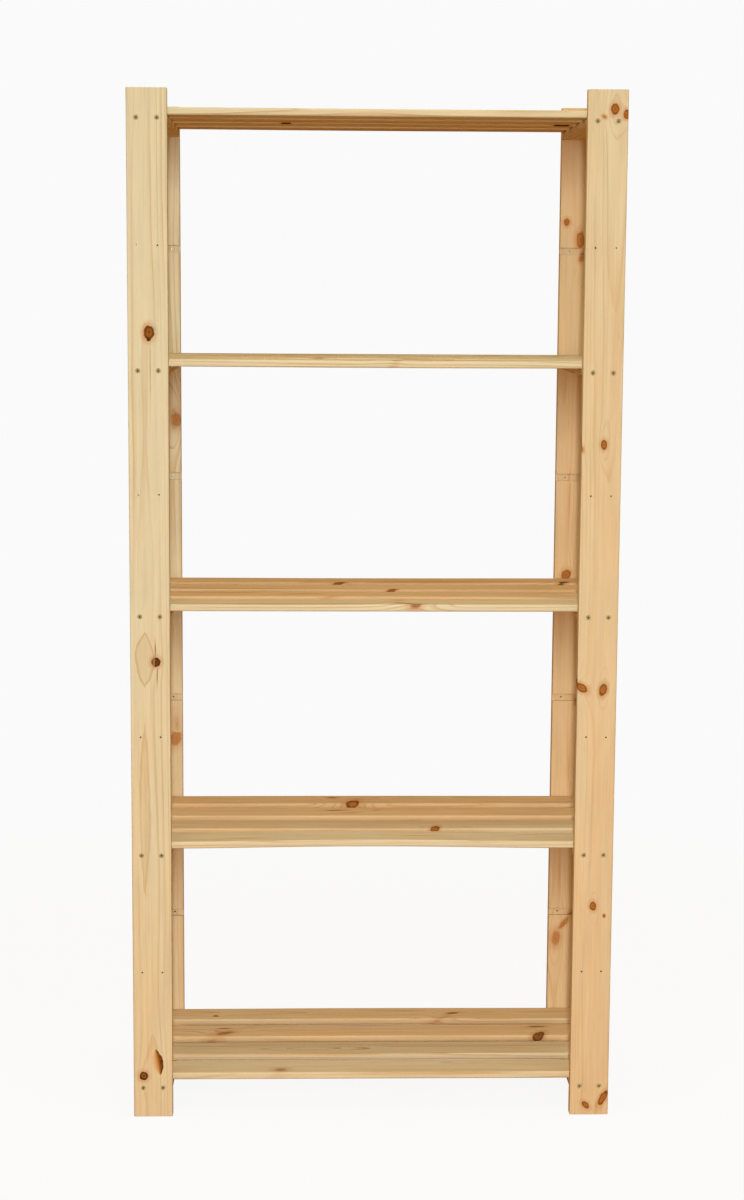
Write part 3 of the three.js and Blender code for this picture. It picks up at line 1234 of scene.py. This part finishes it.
def floor_material(studio):
    """A pale floor that keeps a soft shadow near the rack."""
    material = bpy.data.materials.new("pale_floor")
    tree = emptied(material)
    position = tree.node("ShaderNodeTexCoord").outputs["Object"]
    far = tree.step(tree.vector("LENGTH", position), *SHADOW_FADE)
    seen = seen_directly(tree)
    plain = tree.node("ShaderNodeBsdfDiffuse", {"Color": tree.mix(seen, opaque(studio.bounce), WHITE)})
    level = tree.between(far, FLOOR_LIFT * studio.backdrop, studio.backdrop)
    pale = tree.node("ShaderNodeEmission", {"Color": WHITE, "Strength": level})
    keep = tree.product(seen, tree.between(far, FLOOR_TONE, 1.0))
    shown = tree.node("ShaderNodeMixShader", {0: keep, 1: plain.outputs[0], 2: pale.outputs[0]})
    tree.node("ShaderNodeOutputMaterial", {"Surface": shown.outputs[0]})
    return material


def studio_world(studio):
    """Even light from all round, seen by the camera as the pale backdrop."""
    world = bpy.data.worlds.new("studio")
    tree = emptied(world)
    seen = seen_directly(tree)
    tone = tree.mix(seen, opaque(studio.ambient_colour), WHITE)
    level = tree.between(seen, studio.ambient, studio.backdrop)
    light = tree.node("ShaderNodeBackground", {"Color": tone, "Strength": level})
    tree.node("ShaderNodeOutputWorld", {"Surface": light.outputs[0]})
    return world


def soft_lamp(name, lamp, power, tint):
    data = bpy.data.lights.new(name, "AREA")
    data.color = tint
    data.shape = "RECTANGLE"
    data.size, data.size_y = lamp.size
    data.energy = power
    made = bpy.data.objects.new(name, data)
    bpy.context.collection.objects.link(made)
    aim = (Vector(lamp.target) - Vector(lamp.spot)).to_track_quat("-Z", "Y")
    made.matrix_world = Matrix.Translation(lamp.spot) @ aim.to_matrix().to_4x4()
    made.visible_camera = False
    made.visible_glossy = False
    return data


class RACK_OT_stage(bpy.types.Operator):
    """Set up the pale floor, the soft light and the camera."""

    bl_idname = "rack.stage"
    bl_label = "Stage"

    def execute(self, context):
        scene = context.scene
        studio = scene.rack_studio
        scene.view_settings.view_transform = "Standard"
        scene.world = studio_world(studio)

        mesh = bmesh.new()
        bmesh.ops.create_grid(mesh, x_segments=1, y_segments=1, size=FLOOR_HALF)
        floor = scratch_object("floor", mesh)
        floor.data.materials.append(floor_material(studio))

        key = soft_lamp("key", KEY_LAMP, studio.key_power, studio.key_colour)
        key.spread = KEY_SPREAD
        soft_lamp("overhead", OVERHEAD_LAMP, studio.overhead_power, studio.overhead_colour)
        soft_lamp("rear", REAR_LAMP, studio.rear_power, studio.rear_colour)

        data = bpy.data.cameras.new("photo_view")
        data.sensor_width = CAMERA_SENSOR
        data.lens = studio.camera_lens
        camera = bpy.data.objects.new("photo_view", data)
        scene.collection.objects.link(camera)
        camera.matrix_world = Matrix.Translation(studio.camera_place) @ camera_turn(studio).to_4x4()
        scene.camera = camera
        return {"FINISHED"}


class RACK_PT_sidebar(bpy.types.Panel):
    """Rack tools in the sidebar of the 3D view."""

    bl_idname = "RACK_PT_sidebar"
    bl_label = "Slatted Pine Rack"
    bl_space_type = "VIEW_3D"
    bl_region_type = "UI"
    bl_category = "Rack"

    def draw(self, context):
        column = self.layout.column(align=True)
        for operator in OPERATORS:
            column.operator(operator.bl_idname)
        for group in (context.scene.rack_sizes, context.scene.rack_finish, context.scene.rack_studio):
            box = self.layout.box()
            for name in type(group).__annotations__:
                box.prop(group, name)


GROUPS = {"rack_sizes": RackSizes, "rack_finish": RackFinish, "rack_studio": RackStudio}
OPERATORS = (RACK_OT_posts, RACK_OT_rails, RACK_OT_slats, RACK_OT_screws, RACK_OT_nails, RACK_OT_stage)


def register():
    for made in (*GROUPS.values(), *OPERATORS, RACK_PT_sidebar):
        bpy.utils.register_class(made)
    for name, group in GROUPS.items():
        setattr(bpy.types.Scene, name, bpy.props.PointerProperty(type=group))


def unregister():
    for name in GROUPS:
        delattr(bpy.types.Scene, name)
    for made in (RACK_PT_sidebar, *reversed(OPERATORS), *reversed(GROUPS.values())):
        bpy.utils.unregister_class(made)


def main():
    register()
    bpy.ops.rack.posts()
    bpy.ops.rack.rails()
    bpy.ops.rack.slats()
    bpy.ops.rack.screws()
    bpy.ops.rack.nails()
    bpy.ops.rack.stage()


if __name__ == "__main__":
    main()
